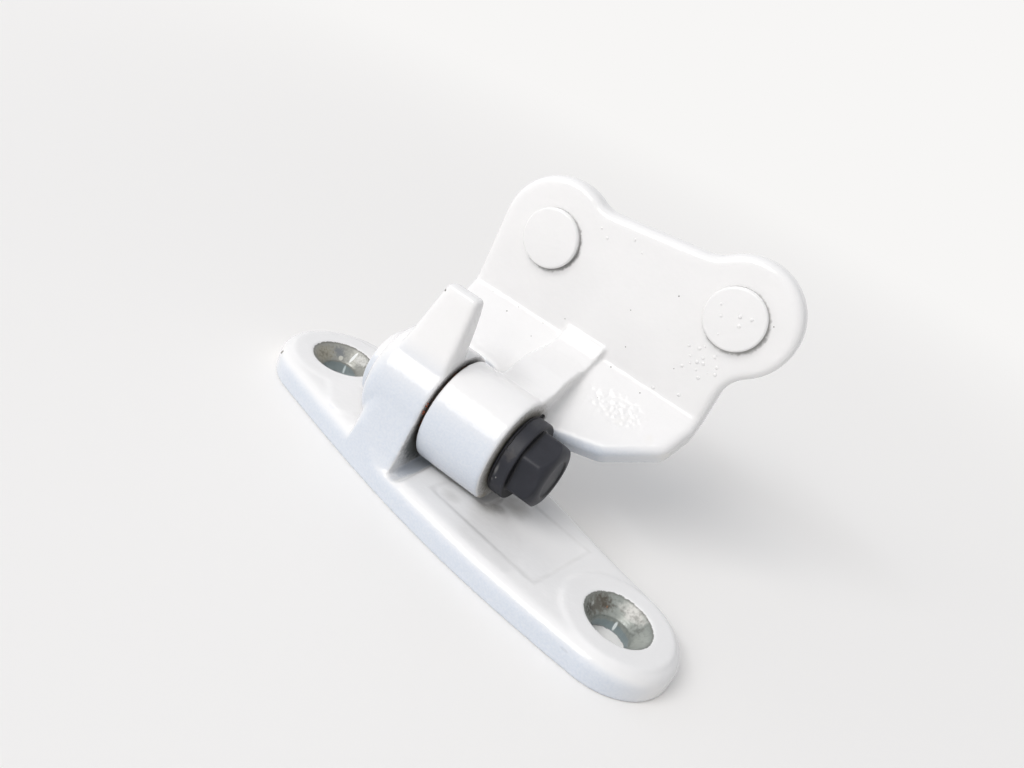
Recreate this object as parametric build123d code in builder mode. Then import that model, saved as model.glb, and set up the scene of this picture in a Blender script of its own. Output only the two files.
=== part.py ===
# Car door hinge in two forged steel leaves, which swing on one pin.
# Millimetres. The origin lies on the pillar leaf's mounting face, under the pin, midway between the two holes.
# +X runs along the pin towards its cap, +Y to the side of the door leaf's plate, +Z off the mounting face.

import os
from math import cos, radians, sin

from build123d import *

os.makedirs("parts", exist_ok=True)

# Pin line
pin_height = 18.5
pin_radius = 5.0
thread_radius = 4.0
pin_head_radius = 8.5
pin_head_thickness = 2.3
pin_head_edge_radius = 0.6
thread_end = 15.9
thread_chamfer = 0.8

# Pillar leaf plate
leaf_thickness = 6.5
leaf_edge_radius = 3.0
leaf_foot_radius = 0.4
hole_centres = [(-45.5, 9.1), (45.5, -9.1)]
hole_radius = 4.3
countersink_radius = 7.9
countersink_angle = 90
near_lobe_centre = (-43.6, 9.7)
near_lobe_radius = 16.9
far_lobe_centre = (45.2, -8.9)
far_lobe_radius = 15.1
pad_height = 0.35
pad_radius = 12.6
pad_tail = (-31.5, -5.8)
pad_tail_radius = 4.0
panel_centre = (14.95, -3.7)
panel_size = (30.5, 21.5)
panel_turn = -8.4
panel_corner_radius = 2.5
panel_depth = 0.25
groove_floor = 5.4
groove_floor_end = -7.4
groove_end = -4.9
groove_front = -20.0
groove_back = 13.0

# Lug and stop finger
lug_left = -26.8
lug_right = -10.5
boss_radius = 13.3
lug_edge_radius = 4.0
finger_edge_radius = 1.3
finger_top_radius = 1.04
foot_left = -24.2
foot_half_width = 17.4
finger_top = 46.6
relief_radius = 13.2
relief_end = 9.0

# Door leaf barrel
barrel_left = -9.8
barrel_right = 7.2
barrel_radius = 12.5
barrel_edge_radius = 0.4
bush_radius = 6.5
bush_length = 8.0
running_clearance = 0.04
end_clearance = 0.15

# Door leaf plate, web and rib
plate_front = 25.5
plate_thickness = 6.0
web_thickness = 6.6
web_slope = 43.1
web_reach = 27.0
fold_height = 37.9
lug_sweep_radius = 14.6
cap_room_radius = 10.6
lobe_a_centre = (-15.4, 56.0)
lobe_a_radius = 14.0
lobe_b_centre = (30.4, 61.9)
lobe_b_radius = 13.5
plate_left = -29.4
plate_right = 35.2
top_edge_rise = 10.1
top_edge_shift = 1.3
neck_drop = 12.6
lobe_blend = 8.0
web_corner_radius = 5.0
outer_bend_radius = 6.0
inner_bend_radius = 1.2
front_rim_radius = 2.0
back_rim_radius = 1.5

# Studs
stud_centres = [(-15.4, 56.0), (30.04, 61.76)]
stud_head_radius = 7.0
stud_head_proud = 1.7
stud_head_edge_radius = 0.6
stud_neck_radius = 4.5
stud_thread_radius = 4.0
stud_thread_length = 17.0

# Washers, nut and cap on the pin's free end
thrust_washer_radius = 11.2
thrust_washer_clearance = 0.2
washer_radius = 8.0
washer_thickness = 1.5
nut_across_flats = 13.0
nut_height = 6.5
cap_left = 7.5
cap_flange_radius = 9.4
cap_flange_end = 11.5
cap_flange_edge = 0.5
cap_corner_radius = 8.4
cap_edge_radius = 1.2
cap_turn = 28
cap_end = 18.1
cap_end_radius = 3.2
cap_dimple_radius = 4.6
cap_dimple_depth = 0.4
cap_end_wall = 1.6
cap_grip = 0.05

pin_line = Plane.YZ
thrust_gap = barrel_left - lug_right
washer_left = barrel_right + end_clearance
nut_left = washer_left + washer_thickness


def write(part, name):
    part.label = name
    export_step(part, "parts/" + name + ".step")


# Pillar leaf's outline: a lobe round each hole, a gently bowed front and a waisted back
with BuildSketch() as leaf_outline:
    with BuildLine():
        near_lobe = CenterArc(near_lobe_centre, near_lobe_radius, 84, 169)
        far_lobe = CenterArc(far_lobe_centre, far_lobe_radius, -92, 168)
        Spline(
            near_lobe @ 1,
            (-19.5, -14.9),
            (5.0, -20.3),
            far_lobe @ 0,
            tangents=(near_lobe % 1, far_lobe % 0),
        )
        Spline(
            far_lobe @ 1,
            (30.0, 11.4),
            (11.0, 18.2),
            near_lobe @ 0,
            tangents=(far_lobe % 1, near_lobe % 0),
        )
    make_face()

# Lug: a round boss on a foot that flares, with the stop finger on top
with BuildPart() as boss:
    with BuildSketch(pin_line.offset(lug_left)):
        with Locations((0, pin_height)):
            Circle(boss_radius)
    extrude(amount=lug_right - lug_left)
    fillet(boss.faces().sort_by(Axis.X)[0].edges(), lug_edge_radius)

with BuildPart() as foot:
    with BuildSketch(pin_line.offset(foot_left)):
        with BuildLine():
            foot_side = Polyline(
                (-foot_half_width, leaf_foot_radius),
                (-foot_half_width, 3.5),
                (-15.9, 5.4),
                (-15.1, 8.0),
                (-14.1, 13.5),
                (-boss_radius, pin_height),
            )
            mirror(foot_side, about=Plane.YZ)
            Line(foot_side @ 0, (foot_half_width, leaf_foot_radius))
            Line(foot_side @ 1, (boss_radius, pin_height))
        make_face()
    extrude(amount=lug_right - foot_left)
    foot_left_face = foot.faces().sort_by(Axis.X)[0]
    fillet(foot_left_face.edges().filter_by(lambda e: abs((e @ 0.5).Y) > 5), lug_edge_radius)
    # No further out than the leaf's own front
    extrude(leaf_outline.sketch, amount=pin_height, mode=Mode.INTERSECT)

# The finger narrows upwards: height, left side, front and back of its rounded sections
finger_sections = [
    (21.0, -25.2, -10.0, 0.4),
    (28.4, -23.6, -9.2, -1.4),
    (34.1, -22.0, -8.8, -2.4),
    (39.2, -20.6, -8.7, -3.2),
    (finger_top, -18.5, -8.6, -5.2),
]
with BuildPart() as finger:
    for height, left, front, back in finger_sections:
        with BuildSketch(Plane.XY.offset(height)):
            with Locations(((left + lug_right) / 2, (front + back) / 2)):
                RectangleRounded(lug_right - left, back - front, finger_edge_radius)
    loft()
    fillet(finger.faces().sort_by(Axis.Z)[-1].edges(), finger_top_radius)

# Pillar leaf: plate, raised pads, lug, finger and the two countersunk holes in one forging
with BuildPart() as pillar_leaf:
    extrude(leaf_outline.sketch, amount=leaf_thickness)
    fillet(faces().sort_by(Axis.Z)[-1].edges(), leaf_edge_radius)
    fillet(faces().sort_by(Axis.Z)[0].edges(), leaf_foot_radius)
    add(foot.part)
    add(boss.part)
    add(finger.part)

    with BuildSketch(Plane.XY.offset(leaf_thickness - pad_height)) as pad_view:
        with Locations(hole_centres[0], pad_tail):
            Circle(pad_tail_radius)
        make_hull()
        with Locations(*hole_centres):
            Circle(pad_radius)
    extrude(amount=2 * pad_height)

    with BuildSketch(Plane.XY.offset(leaf_thickness)):
        with Locations(Location(panel_centre, panel_turn)):
            RectangleRounded(*panel_size, panel_corner_radius)
    extrude(amount=-panel_depth, mode=Mode.SUBTRACT)

    with BuildSketch(Plane.XZ.offset(-groove_back)):
        Polygon(
            (lug_right, groove_floor),
            (groove_floor_end, groove_floor),
            (groove_end, leaf_thickness + 1),
            (lug_right, leaf_thickness + 1),
            align=None,
        )
    extrude(amount=groove_back - groove_front, mode=Mode.SUBTRACT)

    for centre in hole_centres:
        with Locations((centre[0], centre[1], leaf_thickness + pad_height)):
            CounterSinkHole(hole_radius, countersink_radius, counter_sink_angle=countersink_angle)

    with BuildSketch(pin_line.offset(lug_left - 1)):
        with Locations((0, pin_height)):
            Circle(pin_radius)
    extrude(amount=lug_right - lug_left + 2, mode=Mode.SUBTRACT)

    with BuildSketch(pin_line.offset(lug_right)):
        with Locations((0, pin_height)):
            Circle(relief_radius)
    extrude(amount=relief_end - lug_right, mode=Mode.SUBTRACT)
write(pillar_leaf.part, "pillar_leaf")

# Door leaf's sheet: the upright two-lobed plate and the web that slopes from its fold to the barrel
web_plane = Plane(
    origin=(0, plate_front, fold_height),
    x_dir=(1, 0, 0),
    z_dir=(0, -sin(radians(web_slope)), cos(radians(web_slope))),
)
web_end = web_plane.origin - web_plane.y_dir * web_reach
web_under = web_end - web_plane.z_dir * web_thickness
fold_back = fold_height - (web_thickness - plate_thickness * sin(radians(web_slope))) / cos(radians(web_slope))

with BuildPart() as plate:
    with BuildSketch(Plane.XZ.offset(-plate_front)) as plate_view:
        Polygon(
            (plate_left, fold_height),
            (plate_left, lobe_a_centre[1]),
            (lobe_a_centre[0] - top_edge_shift, lobe_a_centre[1] + top_edge_rise),
            (stud_centres[1][0] - top_edge_shift, stud_centres[1][1] + top_edge_rise),
            (lobe_b_centre[0], lobe_b_centre[1]),
            (plate_right, lobe_b_centre[1] - neck_drop),
            (plate_right, fold_height),
            align=None,
        )
        with Locations(lobe_a_centre):
            Circle(lobe_a_radius)
        with Locations(lobe_b_centre):
            Circle(lobe_b_radius)
        inner_corners = plate_view.vertices().filter_by(
            lambda v: v.Y > fold_height + 1 and v.X > plate_left + 1
        )
        fillet(inner_corners, lobe_blend)
    extrude(amount=-plate_thickness)

with BuildPart() as web:
    with BuildSketch(Plane.YZ.offset(plate_left)):
        Polygon(
            (plate_front, fold_height + 6),
            (plate_front + plate_thickness, fold_height + 6),
            (plate_front + plate_thickness, fold_back),
            (web_under.Y, web_under.Z),
            (web_end.Y, web_end.Z),
            (plate_front, fold_height),
            align=None,
        )
    extrude(amount=plate_right - plate_left)
    with BuildSketch(web_plane.offset(-30)) as web_view:
        Polygon(
            (plate_left, 20),
            (plate_left, -3),
            (plate_left + 1.8, -web_reach),
            (7.0, -web_reach),
            (8.6, -23.2),
            (22.0, -19.6),
            (plate_right - 2, -11.0),
            (plate_right, -3.0),
            (plate_right, 20),
            align=None,
        )
        fillet(web_view.vertices().filter_by(lambda v: v.X > 9 and -22 < v.Y < -4), web_corner_radius)
    extrude(amount=40, mode=Mode.INTERSECT)
    # Room for the lug's boss as the leaf swings
    with BuildSketch(pin_line.offset(plate_left - 1)):
        with Locations((0, pin_height)):
            Circle(lug_sweep_radius)
    extrude(amount=barrel_left - plate_left + 1, mode=Mode.SUBTRACT)


def beside_barrel(edge):
    return edge.length > 0.01 and not barrel_left - 1 < (edge @ 0.5).X < barrel_right + 1.8


with BuildPart() as sheet:
    add(plate.part)
    add(web.part)
    sheet_width = plate_right - plate_left
    large_face = 1000
    bend_lines = sheet.edges().filter_by(Axis.X).filter_by(lambda e: e.length > sheet_width - 1)
    fillet(bend_lines.sort_by(Axis.Z)[-1], inner_bend_radius)
    fillet(bend_lines.sort_by(Axis.Y)[-1], outer_bend_radius)
    web_faces = sheet.faces().filter_by(web_plane).sort_by(Axis(web_plane.origin, web_plane.z_dir))
    plate_faces = sheet.faces().filter_by(Plane.XZ).filter_by(lambda f: f.area > large_face).sort_by(Axis.Y)
    front_rim = plate_faces[0].edges() + web_faces[-1].edges().filter_by(beside_barrel)
    fillet(front_rim.filter_by(lambda e: e.length < sheet_width - 5), front_rim_radius)
    plate_faces = sheet.faces().filter_by(Plane.XZ).filter_by(lambda f: f.area > large_face).sort_by(Axis.Y)
    web_faces = sheet.faces().filter_by(web_plane).sort_by(Axis(web_plane.origin, web_plane.z_dir))
    back_rim = plate_faces[-1].edges() + web_faces[0].edges().filter_by(beside_barrel)
    fillet(back_rim.filter_by(lambda e: e.length < sheet_width - 5), back_rim_radius)
    # Room for the cap
    with BuildSketch(pin_line.offset(barrel_right)):
        with Locations((0, pin_height)):
            Circle(cap_room_radius)
    extrude(amount=plate_right - barrel_right, mode=Mode.SUBTRACT)

with BuildPart() as rib:
    with BuildSketch(pin_line.offset(-10)):
        Polygon(
            (2.0, pin_height),
            (4.4, 30.3),
            (8.1, 31.0),
            (10.4, 32.2),
            (12.8, 33.5),
            (20.8, 35.4),
            (23.0, 37.4),
            (25.0, 40.3),
            (27.0, 41.0),
            (27.0, 33.0),
            (10.0, pin_height),
            align=None,
        )
    extrude(amount=20)
    with BuildSketch(Plane.XY.offset(15)):
        Polygon(
            (-4.8, 0),
            (-4.6, 12),
            (-3.9, 18),
            (-2.3, plate_front),
            (-2.3, plate_front + 3),
            (8.2, plate_front + 3),
            (8.2, plate_front),
            (7.4, 17),
            (barrel_right, 0),
            align=None,
        )
    extrude(amount=30, mode=Mode.INTERSECT)

with BuildPart() as door_leaf:
    add(sheet.part)
    add(rib.part)
    with BuildSketch(pin_line.offset(barrel_left)):
        with Locations((0, pin_height)):
            Circle(barrel_radius)
    extrude(amount=barrel_right - barrel_left)
    barrel_ends = door_leaf.edges().filter_by(GeomType.CIRCLE).filter_by(
        lambda e: abs(e.radius - barrel_radius) < 0.01 and abs((e @ 0).X - (e @ 1).X) < 0.01
    )
    fillet(barrel_ends, barrel_edge_radius)
    with BuildSketch(pin_line.offset(barrel_left - 1)):
        with Locations((0, pin_height)):
            Circle(bush_radius)
    extrude(amount=barrel_right - barrel_left + 2, mode=Mode.SUBTRACT)
    for centre in stud_centres:
        with BuildSketch(Plane.XZ.offset(-plate_front)):
            with Locations(centre):
                Circle(stud_neck_radius)
        extrude(amount=-plate_thickness, mode=Mode.SUBTRACT)
write(door_leaf.part, "door_leaf")

# Pin: painted round head, body through lug and bushes, then a thinner threaded end
with BuildPart() as hinge_pin:
    with BuildSketch(pin_line.offset(lug_left - pin_head_thickness)):
        with Locations((0, pin_height)):
            Circle(pin_head_radius)
    extrude(amount=pin_head_thickness)
    with BuildSketch(pin_line.offset(lug_left)):
        with Locations((0, pin_height)):
            Circle(pin_radius)
    extrude(amount=washer_left - lug_left)
    with BuildSketch(pin_line.offset(washer_left)):
        with Locations((0, pin_height)):
            Circle(thread_radius)
    extrude(amount=thread_end - washer_left)
    fillet(faces().sort_by(Axis.X)[0].edges(), pin_head_edge_radius)
    chamfer(faces().sort_by(Axis.X)[-1].edges(), thread_chamfer)
write(hinge_pin.part, "hinge_pin")

# Two plain bushes, pressed into the barrel from its two ends
for name, left in [("inner_bush", barrel_left), ("outer_bush", barrel_right - bush_length)]:
    with BuildPart() as bush:
        with BuildSketch(pin_line.offset(left)):
            with Locations((0, pin_height)):
                Circle(bush_radius)
                Circle(pin_radius + running_clearance, mode=Mode.SUBTRACT)
        extrude(amount=bush_length)
    write(bush.part, name)

# Thrust washer in the gap between lug and barrel
with BuildPart() as thrust_washer:
    with BuildSketch(pin_line.offset(lug_right)):
        with Locations((0, pin_height)):
            Circle(thrust_washer_radius)
            Circle(pin_radius + thrust_washer_clearance, mode=Mode.SUBTRACT)
    extrude(amount=thrust_gap - end_clearance)
write(thrust_washer.part, "thrust_washer")

# Washer against the pin's shoulder
with BuildPart() as pin_washer:
    with BuildSketch(pin_line.offset(washer_left)):
        with Locations((0, pin_height)):
            Circle(washer_radius)
            Circle(thread_radius, mode=Mode.SUBTRACT)
    extrude(amount=washer_thickness)
write(pin_washer.part, "pin_washer")

# Hexagon nut, inside the cap
with BuildPart() as pin_nut:
    with BuildSketch(pin_line.offset(nut_left)):
        with Locations((0, pin_height)):
            RegularPolygon(nut_across_flats / 2, 6, major_radius=False, rotation=cap_turn)
            Circle(thread_radius, mode=Mode.SUBTRACT)
    extrude(amount=nut_height)
write(pin_nut.part, "pin_nut")

# Cap: six-sided top with a turned-down end and a shallow dimple, round flange, hollow over washer and nut
with BuildPart() as cap_turning:
    with BuildSketch(pin_line.offset(cap_left)):
        with Locations((0, pin_height)):
            Circle(cap_corner_radius)
    extrude(amount=cap_end - cap_left)
    fillet(faces().sort_by(Axis.X)[-1].edges(), cap_end_radius)

with BuildPart() as cap_flange:
    with BuildSketch(pin_line.offset(cap_left)):
        with Locations((0, pin_height)):
            Circle(cap_flange_radius)
    extrude(amount=cap_flange_end - cap_left)
    fillet(edges().filter_by(GeomType.CIRCLE), cap_flange_edge)

with BuildPart() as end_cap:
    with BuildSketch(pin_line.offset(cap_left)):
        with Locations((0, pin_height)):
            cap_hexagon = RegularPolygon(cap_corner_radius, 6, rotation=cap_turn)
        fillet(cap_hexagon.vertices(), cap_edge_radius)
    extrude(amount=cap_end - cap_left)
    add(cap_turning.part, mode=Mode.INTERSECT)
    add(cap_flange.part)
    with BuildSketch(pin_line.offset(cap_end)):
        with Locations((0, pin_height)):
            Circle(cap_dimple_radius)
    extrude(amount=-cap_dimple_depth, mode=Mode.SUBTRACT)
    with BuildSketch(pin_line.offset(cap_left)):
        with Locations((0, pin_height)):
            Circle(washer_radius + 2 * cap_grip)
    extrude(amount=nut_left + cap_grip - cap_left, mode=Mode.SUBTRACT)
    with BuildSketch(pin_line.offset(cap_left)):
        with Locations((0, pin_height)):
            RegularPolygon(nut_across_flats / 2 + cap_grip, 6, major_radius=False, rotation=cap_turn)
    extrude(amount=cap_end - cap_end_wall - cap_left, mode=Mode.SUBTRACT)
write(end_cap.part, "end_cap")

# Two studs pressed through the plate, heads on its front and threads behind
for number, centre in enumerate(stud_centres, start=1):
    with BuildPart() as stud:
        with BuildSketch(Plane.XZ.offset(stud_head_proud - plate_front)):
            with Locations(centre):
                Circle(stud_head_radius)
        extrude(amount=-stud_head_proud)
        with BuildSketch(Plane.XZ.offset(-plate_front)):
            with Locations(centre):
                Circle(stud_neck_radius)
        extrude(amount=-plate_thickness)
        with BuildSketch(Plane.XZ.offset(-plate_front - plate_thickness)):
            with Locations(centre):
                Circle(stud_thread_radius)
        extrude(amount=-stud_thread_length)
        fillet(faces().sort_by(Axis.Y)[0].edges(), stud_head_edge_radius)
        chamfer(faces().sort_by(Axis.Y)[-1].edges(), thread_chamfer)
    write(stud.part, "stud_" + str(number))
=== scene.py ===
# Looks of a white enamelled car door hinge: two forged leaves on one pin, with a black cap.
# Metres. The origin lies on the pillar leaf's mounting face, under the pin; +X runs along the pin to the cap.

import math

import bmesh
import bpy
from mathutils import Matrix, Vector


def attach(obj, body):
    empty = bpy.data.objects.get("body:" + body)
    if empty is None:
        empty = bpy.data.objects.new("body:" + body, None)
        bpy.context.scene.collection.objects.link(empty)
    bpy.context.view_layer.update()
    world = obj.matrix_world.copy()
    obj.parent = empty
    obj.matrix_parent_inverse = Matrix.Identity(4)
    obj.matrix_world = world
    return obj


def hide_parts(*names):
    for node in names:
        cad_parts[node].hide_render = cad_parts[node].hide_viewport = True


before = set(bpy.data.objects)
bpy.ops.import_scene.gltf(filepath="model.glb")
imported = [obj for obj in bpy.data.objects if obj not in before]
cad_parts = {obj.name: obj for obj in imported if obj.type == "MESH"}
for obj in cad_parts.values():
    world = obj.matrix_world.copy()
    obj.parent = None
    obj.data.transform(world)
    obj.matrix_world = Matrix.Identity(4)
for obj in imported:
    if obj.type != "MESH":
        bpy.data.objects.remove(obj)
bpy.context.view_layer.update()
print("frame loaded")

mm = 0.001
pinHeight = 18.5
weldDistance = 0.001 * mm
smoothFactor = 0.5

# Settings that many nodes share
inColour = {"data_type": "RGBA"}
inNumbers = {"data_type": "FLOAT"}
eased = {"interpolation_type": "SMOOTHSTEP"}


def linear(hexColour):
    channels = [int(hexColour[i:i + 2], 16) / 255 for i in (0, 2, 4)]
    return [c / 12.92 if c <= 0.04045 else ((c + 0.055) / 1.055) ** 2.4 for c in channels] + [1.0]


def addNode(tree, kind, settings=None, inputs=None):
    # inputs: socket name or number to a value, or to the socket it is linked from
    node = tree.nodes.new(kind)
    for key, value in (settings or {}).items():
        setattr(node, key, value)
    for key, value in (inputs or {}).items():
        if isinstance(value, bpy.types.NodeSocket):
            tree.links.new(value, node.inputs[key])
        else:
            node.inputs[key].default_value = value
    return node


def newMaterial(name):
    # A new material with its tree, its shader and the place of each point on the object
    material = bpy.data.materials.new(name)
    material.use_nodes = True
    tree = material.node_tree
    place = addNode(tree, "ShaderNodeTexCoord").outputs["Object"]
    return material, tree, tree.nodes["Principled BSDF"], place


def newObject(name, data):
    made = bpy.data.objects.new(name, data)
    bpy.context.scene.collection.objects.link(made)
    return made


# Camera, where the photograph was taken from
camera = {
    "place": Vector((54.3, -155.2, 108.0)) * mm,
    "looks": Vector((-0.2980, 0.8567, -0.4210)),
    "up": Vector((-0.5405, 0.2121, 0.8142)),
    "lens": 30.154,
    "sensor": 36.0,
    "nearest": 5 * mm,
}
cameraData = bpy.data.cameras.new("camera")
cameraData.lens = camera["lens"]
cameraData.sensor_width = camera["sensor"]
cameraData.clip_start = camera["nearest"]
cameraObject = newObject("camera", cameraData)
back = -camera["looks"].normalized()
right = camera["up"].cross(back).normalized()
turned = Matrix((right, back.cross(right), back)).transposed().to_4x4()
cameraObject.matrix_world = Matrix.Translation(camera["place"]) @ turned
bpy.context.scene.camera = cameraObject
bpy.context.scene.view_settings.view_transform = "Standard"

# Soft studio light: a sky that is brighter over the front left, a wide soft lamp there and a narrow window strip
light = {
    "sky": "F0F3F9",
    "skyLow": 0.24,
    "skyHigh": 0.77,
    "skyTowards": Vector((-0.55, -0.30, 0.78)),
    "skyTurns": (-0.5, 0.9),
    "backdrop": "F7F6F5",
    "aim": Vector((0, 0, 20)) * mm,
    "lamps": {
        "strip": {
            "towards": (-118, 38), "distance": 3.0, "size": (1.5, 0.20), "watts": 12.5, "colour": "F2F7FF",
        },
        "top": {
            "towards": (-115, 42), "distance": 6.0, "size": (4.0, 4.0), "watts": 166.0, "colour": "FFFAF4",
        },
    },
}
world = bpy.data.worlds.new("paleRoom")
bpy.context.scene.world = world
world.use_nodes = True
tree = world.node_tree
tree.nodes.clear()
rays = addNode(tree, "ShaderNodeLightPath").outputs
seen = addNode(tree, "ShaderNodeMath", {"operation": "MAXIMUM"}, {
    0: rays["Is Camera Ray"], 1: rays["Is Transmission Ray"]}).outputs[0]
seen = addNode(tree, "ShaderNodeMath", {"operation": "MAXIMUM"}, {
    0: seen, 1: rays["Is Glossy Ray"]}).outputs[0]
direction = addNode(tree, "ShaderNodeTexCoord").outputs["Generated"]
toLight = addNode(tree, "ShaderNodeVectorMath", {"operation": "DOT_PRODUCT"}, {
    0: direction, 1: light["skyTowards"].normalized()}).outputs["Value"]
strength = addNode(tree, "ShaderNodeMapRange", eased, {
    "Value": toLight, "From Min": light["skyTurns"][0], "From Max": light["skyTurns"][1],
    "To Min": light["skyLow"], "To Max": light["skyHigh"]}).outputs[0]
sky = addNode(tree, "ShaderNodeBackground", None, {"Color": linear(light["sky"]), "Strength": strength})
backdrop = addNode(tree, "ShaderNodeBackground", None, {"Color": linear(light["backdrop"])})
mixed = addNode(tree, "ShaderNodeMixShader", None, {0: seen, 1: sky.outputs[0], 2: backdrop.outputs[0]})
addNode(tree, "ShaderNodeOutputWorld", None, {"Surface": mixed.outputs[0]})

for name, lamp in light["lamps"].items():
    azimuth, elevation = (math.radians(degrees) for degrees in lamp["towards"])
    level = math.cos(elevation)
    outwards = Vector((math.cos(azimuth) * level, math.sin(azimuth) * level, math.sin(elevation)))
    lampData = bpy.data.lights.new(name, "AREA")
    lampData.shape = "RECTANGLE"
    lampData.size, lampData.size_y = lamp["size"]
    lampData.energy = lamp["watts"]
    lampData.color = linear(lamp["colour"])[:3]
    lampObject = newObject(name, lampData)
    lampObject.location = light["aim"] + outwards * lamp["distance"]
    lampObject.rotation_euler = outwards.to_track_quat("Z", "Y").to_euler()

# Floor: a plain white table top, which fades into the white backdrop far from the hinge
floorLook = {
    "colour": "F8F6F3",
    "roughness": 0.45,
    "specular": 0.3,
    "reach": 60.0,
    "fade": (0.10, 0.75),
}
floorMaterial, tree, shader, place = newMaterial("matt white laminate")
shader.inputs["Base Color"].default_value = linear(floorLook["colour"])
shader.inputs["Roughness"].default_value = floorLook["roughness"]
shader.inputs["Specular IOR Level"].default_value = floorLook["specular"]
away = addNode(tree, "ShaderNodeVectorMath", {"operation": "LENGTH"}, {0: place}).outputs["Value"]
fade = addNode(tree, "ShaderNodeMapRange", eased, {
    "Value": away, "From Min": floorLook["fade"][0], "From Max": floorLook["fade"][1]}).outputs[0]
rays = addNode(tree, "ShaderNodeLightPath").outputs
seen = addNode(tree, "ShaderNodeMath", {"operation": "MAXIMUM"}, {
    0: rays["Is Camera Ray"], 1: rays["Is Glossy Ray"]}).outputs[0]
fade = addNode(tree, "ShaderNodeMath", {"operation": "MULTIPLY"}, {0: fade, 1: seen}).outputs[0]
backdrop = addNode(tree, "ShaderNodeEmission", None, {"Color": linear(light["backdrop"])})
mixed = addNode(tree, "ShaderNodeMixShader", None, {0: fade, 1: shader.outputs[0], 2: backdrop.outputs[0]})
tree.links.new(mixed.outputs[0], tree.nodes["Material Output"].inputs["Surface"])
floorMesh = bpy.data.meshes.new("floor")
reach = floorLook["reach"]
corners = [(-reach, -reach, 0), (reach, -reach, 0), (reach, reach, 0), (-reach, reach, 0)]
floorMesh.from_pydata(corners, [], [(0, 1, 2, 3)])
floorMesh.materials.append(floorMaterial)
floor = newObject("floor", floorMesh)
print("camera, light and floor made")

# Stains, chips and smears, in mm; what one leaves out is taken from here
plainMark = {"ragged": 0.3, "grain": 1.0, "softness": 0.3, "strength": 1.0}


def addMark(tree, place, mark):
    # How much of a mark shows at a point: its strength in the middle, 0 past its ragged edge
    mark = {**plainMark, **mark}
    towards = addNode(tree, "ShaderNodeVectorMath", {"operation": "SUBTRACT"}, {
        0: place, 1: Vector(mark["at"]) * mm}).outputs[0]
    scaled = addNode(tree, "ShaderNodeVectorMath", {"operation": "DIVIDE"}, {
        0: towards, 1: Vector(mark["size"]) * mm}).outputs[0]
    away = addNode(tree, "ShaderNodeVectorMath", {"operation": "LENGTH"}, {0: scaled}).outputs["Value"]
    grain = addNode(tree, "ShaderNodeTexNoise", None, {
        "Vector": place, "Scale": 1 / (mark["grain"] * mm), "Detail": 3.0}).outputs["Fac"]
    # The noise is a half on average, and the edge lies further out by that much
    away = addNode(tree, "ShaderNodeMath", {"operation": "MULTIPLY_ADD"}, {
        0: grain, 1: 4 * mark["ragged"], 2: away}).outputs[0]
    edge = 1.0 + 2 * mark["ragged"]
    return addNode(tree, "ShaderNodeMapRange", eased, {
        "Value": away, "From Min": edge - mark["softness"], "From Max": edge,
        "To Min": mark["strength"], "To Max": 0.0}).outputs[0]


def addBand(tree, value, band):
    # How much of a band shows where value has its middle at band's at, in mm: 0 past its outer edge
    offset = addNode(tree, "ShaderNodeMath", {"operation": "SUBTRACT"}, {0: value, 1: band["at"] * mm}).outputs[0]
    offset = addNode(tree, "ShaderNodeMath", {"operation": "ABSOLUTE"}, {0: offset}).outputs[0]
    return addNode(tree, "ShaderNodeMapRange", eased, {
        "Value": offset, "From Min": band["inner"] * mm, "From Max": band["outer"] * mm,
        "To Min": band["strength"], "To Max": 0.0}).outputs[0]


# Enamel: a faint unevenness of colour, the low ripple of sprayed paint, and painted shade: a bluish grey tint on
# the low faces turned to the front
enamel = {
    "colour": "F2F1F0",
    "shade": "EAE9E8",
    "cloudWidth": 14 * mm,
    "roughness": (0.08, 0.13),
    "ior": 1.5,
    "ripples": ({"width": 1.5 * mm, "height": 0.05 * mm, "detail": 1.0},
                {"width": 0.45 * mm, "height": 0.010 * mm, "detail": 2.0}),
    # Painted shade: the bluish grey tint for low faces turned to the front, and where it shows
    "paintedFrontShade": "CBD2DC",
    "shadeTowards": Vector((0.0, -0.95, -0.30)),
    "shadeFacing": (0.35, 1.0),
    "shadeHeight": (23 * mm, 33 * mm),
    "mottleWidth": 0.5 * mm,
    "mottleNoise": (0.3, 0.7),
    "mottleStrength": (0.75, 1.0),
    "markRoughness": 0.5,
    "blisterSmoothness": 0.4,
}


def addThinCoat(tree, place):
    # Painted shade: faces low down and turned to the front and down are tinted bluish grey in fine mottles, as if
    # they lay in shade
    facing = addNode(tree, "ShaderNodeTexCoord").outputs["Normal"]
    facing = addNode(tree, "ShaderNodeVectorMath", {"operation": "DOT_PRODUCT"}, {
        0: facing, 1: enamel["shadeTowards"].normalized()}).outputs["Value"]
    facing = addNode(tree, "ShaderNodeMapRange", eased, {
        "Value": facing, "From Min": enamel["shadeFacing"][0], "From Max": enamel["shadeFacing"][1]}).outputs[0]
    height = addNode(tree, "ShaderNodeSeparateXYZ", None, {0: place}).outputs[2]
    height = addNode(tree, "ShaderNodeMapRange", eased, {
        "Value": height, "From Min": enamel["shadeHeight"][0], "From Max": enamel["shadeHeight"][1],
        "To Min": 1.0, "To Max": 0.0}).outputs[0]
    mottle = addNode(tree, "ShaderNodeTexNoise", None, {
        "Vector": place, "Scale": 1 / enamel["mottleWidth"], "Detail": 3.0}).outputs["Fac"]
    mottle = addNode(tree, "ShaderNodeMapRange", None, {
        "Value": mottle, "From Min": enamel["mottleNoise"][0], "From Max": enamel["mottleNoise"][1],
        "To Min": enamel["mottleStrength"][0], "To Max": enamel["mottleStrength"][1]}).outputs[0]
    paintedFrontShade = addNode(tree, "ShaderNodeMath", {"operation": "MULTIPLY"}, {0: facing, 1: height}).outputs[0]
    return addNode(tree, "ShaderNodeMath", {"operation": "MULTIPLY"}, {0: paintedFrontShade, 1: mottle}).outputs[0]


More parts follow.
